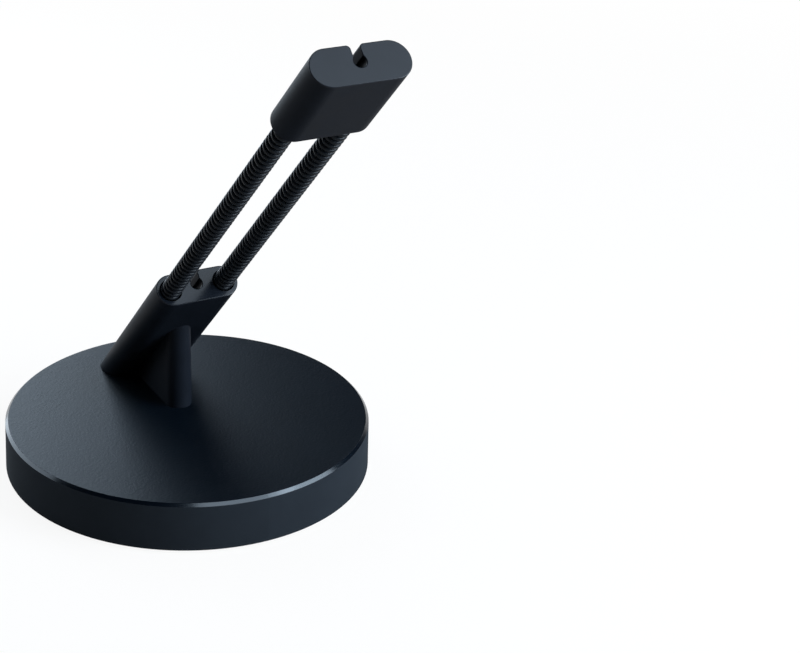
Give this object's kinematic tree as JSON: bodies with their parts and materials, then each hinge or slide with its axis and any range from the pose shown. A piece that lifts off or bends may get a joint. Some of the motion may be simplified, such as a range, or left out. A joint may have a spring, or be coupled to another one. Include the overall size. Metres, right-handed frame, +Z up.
{
  "type": "mouse bungee",
  "caption": "Round weighted stand with a leaning sprung arm; the slotted head and neck hold a mouse's cable up off the desk.",
  "frame": {"origin": "centre of the foot pad's underside, on the desk", "axes": "+Z up, +X to the front, the way the arm leans, +Y to the right as seen from the front"},
  "size_m": [0.1236, 0.0864, 0.1263],
  "materials": {
    "base_plastic": "fine moulded grain, near-black",
    "arm_plastic": "satin, near-black",
    "spring_steel": "satin black coating",
    "pin_steel": "turned",
    "screw_steel": "zinc plated",
    "ballast_steel": "stamped",
    "plate_plastic": "moulded, near-black",
    "foot_rubber": "matt"
  },
  "bodies": {
    "base": {"base_shell": "base_plastic", "ballast_disc": "ballast_steel", "base_plate": "plate_plastic", "foot_pad": "foot_rubber", "base_screws": "screw_steel", "neck": "arm_plastic", "neck_screws": "screw_steel", "left_spring": "spring_steel", "right_spring": "spring_steel", "left_lower_pin": "pin_steel", "right_lower_pin": "pin_steel"},
    "head": {"head": "arm_plastic", "left_upper_pin": "pin_steel", "right_upper_pin": "pin_steel"}
  },
  "joints": [
    {"name": "arm_flex", "type": "hinge", "parent": "base", "child": "head", "pos_m": [0.02395, 0, 0.06751], "axis": [0, 1, 0], "range_deg": [-30, 30], "stiffness_Nm_per_rad": 0.05, "springref_deg": -2.23, "deforming": ["left_spring", "right_spring"]}
  ]
}
